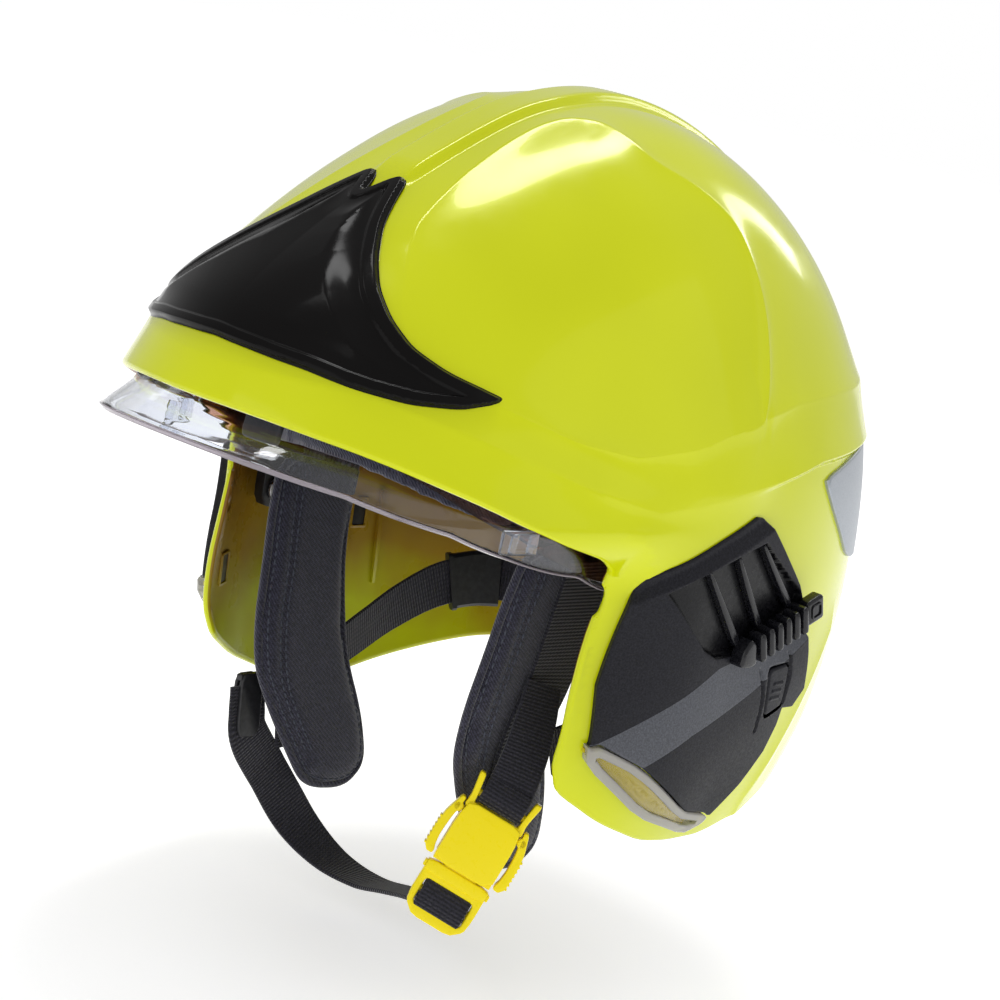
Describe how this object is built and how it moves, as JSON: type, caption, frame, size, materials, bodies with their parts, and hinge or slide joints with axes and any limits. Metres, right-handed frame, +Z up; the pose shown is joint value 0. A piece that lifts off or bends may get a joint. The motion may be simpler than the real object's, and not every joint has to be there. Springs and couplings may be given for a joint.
{
  "type": "structural fire helmet",
  "caption": "Jet-style structural firefighter helmet with two nested visors, side lamps, head cradle, ear pads and buckled chin strap.",
  "frame": {"origin": "middle of the visor pivot axis, at the centre of the head opening between the ears", "axes": "+X wearer's left, -Y front, +Z up"},
  "size_m": [0.2586, 0.3561, 0.335],
  "materials": {
    "shell": "gloss",
    "plate": "gloss",
    "gasket": "matte",
    "liner": "matte",
    "cover": "fine grain",
    "lens": "clear",
    "reflector": "gloss",
    "button": "matte",
    "reflective": "retro-reflective",
    "bracket": "satin",
    "steel": "polished",
    "band": "satin",
    "webbing": "woven",
    "pad": "woven",
    "buckle": "satin",
    "clear": "clear",
    "tint": "clear tinted"
  },
  "bodies": {
    "helmet": {"outer_shell": "shell", "front_plate": "plate", "brow_gasket": "gasket", "impact_liner": "liner", "side_cover_left": "cover", "side_cover_right": "cover", "mask_rack_left": "cover", "mask_rack_right": "cover", "lamp_lens_left": "lens", "lamp_lens_right": "lens", "lamp_reflector_left": "reflector", "lamp_reflector_right": "reflector", "reflective_patch_left": "reflective", "reflective_patch_right": "reflective", "visor_bracket_left": "bracket", "visor_bracket_right": "bracket", "visor_pins": "steel", "bracket_screws": "steel", "headband": "band", "crown_cradle": "webbing", "crown_pad": "pad", "forehead_pad": "pad", "nape_pad": "pad", "nape_band": "webbing", "ratchet_housing": "band", "ear_pad_left": "pad", "ear_pad_right": "pad", "side_webbing_left": "webbing", "side_webbing_right": "webbing", "strap_anchor": "bracket", "buckle_frame": "buckle", "frame_webbing": "webbing"},
    "lamp_button_left_body": {"lamp_button_left": "button"},
    "lamp_button_right_body": {"lamp_button_right": "button"},
    "size_knob_body": {"size_knob": "band"},
    "buckle_tongue_body": {"buckle_tongue": "buckle", "chin_strap": "webbing"},
    "buckle_arm_front_body": {"buckle_arm_front": "buckle"},
    "buckle_arm_rear_body": {"buckle_arm_rear": "buckle"},
    "face_shield_body": {"face_shield": "clear", "shield_bead": "clear", "shield_hubs": "clear", "shield_tabs": "clear"},
    "ocular_visor_body": {"ocular_visor": "tint", "ocular_hubs": "bracket", "ocular_tab": "bracket"}
  },
  "joints": [
    {"name": "face_shield_pivot", "type": "hinge", "parent": "helmet", "child": "face_shield_body", "pos_m": [0, 0, 0], "axis": [1, 0, 0], "range_deg": [0, 46]},
    {"name": "ocular_visor_pivot", "type": "hinge", "parent": "helmet", "child": "ocular_visor_body", "pos_m": [0, 0, 0], "axis": [1, 0, 0], "range_deg": [0, 30]},
    {"name": "size_knob_turn", "type": "hinge", "parent": "helmet", "child": "size_knob_body", "pos_m": [0, 0.11, -0.056], "axis": [0, 1, 0], "range_deg": [-180, 540]},
    {"name": "lamp_button_left_press", "type": "slide", "parent": "helmet", "child": "lamp_button_left_body", "axis": [-1, 0, 0], "range_m": [0, 0.0013], "stiffness_N_per_m": 800},
    {"name": "lamp_button_right_press", "type": "slide", "parent": "helmet", "child": "lamp_button_right_body", "axis": [1, 0, 0], "range_m": [0, 0.0013], "stiffness_N_per_m": 800},
    {"name": "buckle_release", "type": "slide", "parent": "helmet", "child": "buckle_tongue_body", "axis": [-0.1491, -0.3691, -0.9173], "range_m": [0, 0.022]},
    {"name": "buckle_squeeze_front", "type": "hinge", "parent": "helmet", "child": "buckle_arm_front_body", "pos_m": [0.08152, -0.04645, -0.11683], "axis": [-0.6242, 0.7546, -0.2022], "range_deg": [0, 2.6], "stiffness_Nm_per_rad": 0.5},
    {"name": "buckle_squeeze_rear", "type": "hinge", "parent": "helmet", "child": "buckle_arm_rear_body", "pos_m": [0.06021, -0.06153, -0.1073], "axis": [0.6242, -0.7546, 0.2022], "range_deg": [0, 2.6], "stiffness_Nm_per_rad": 0.5}
  ]
}
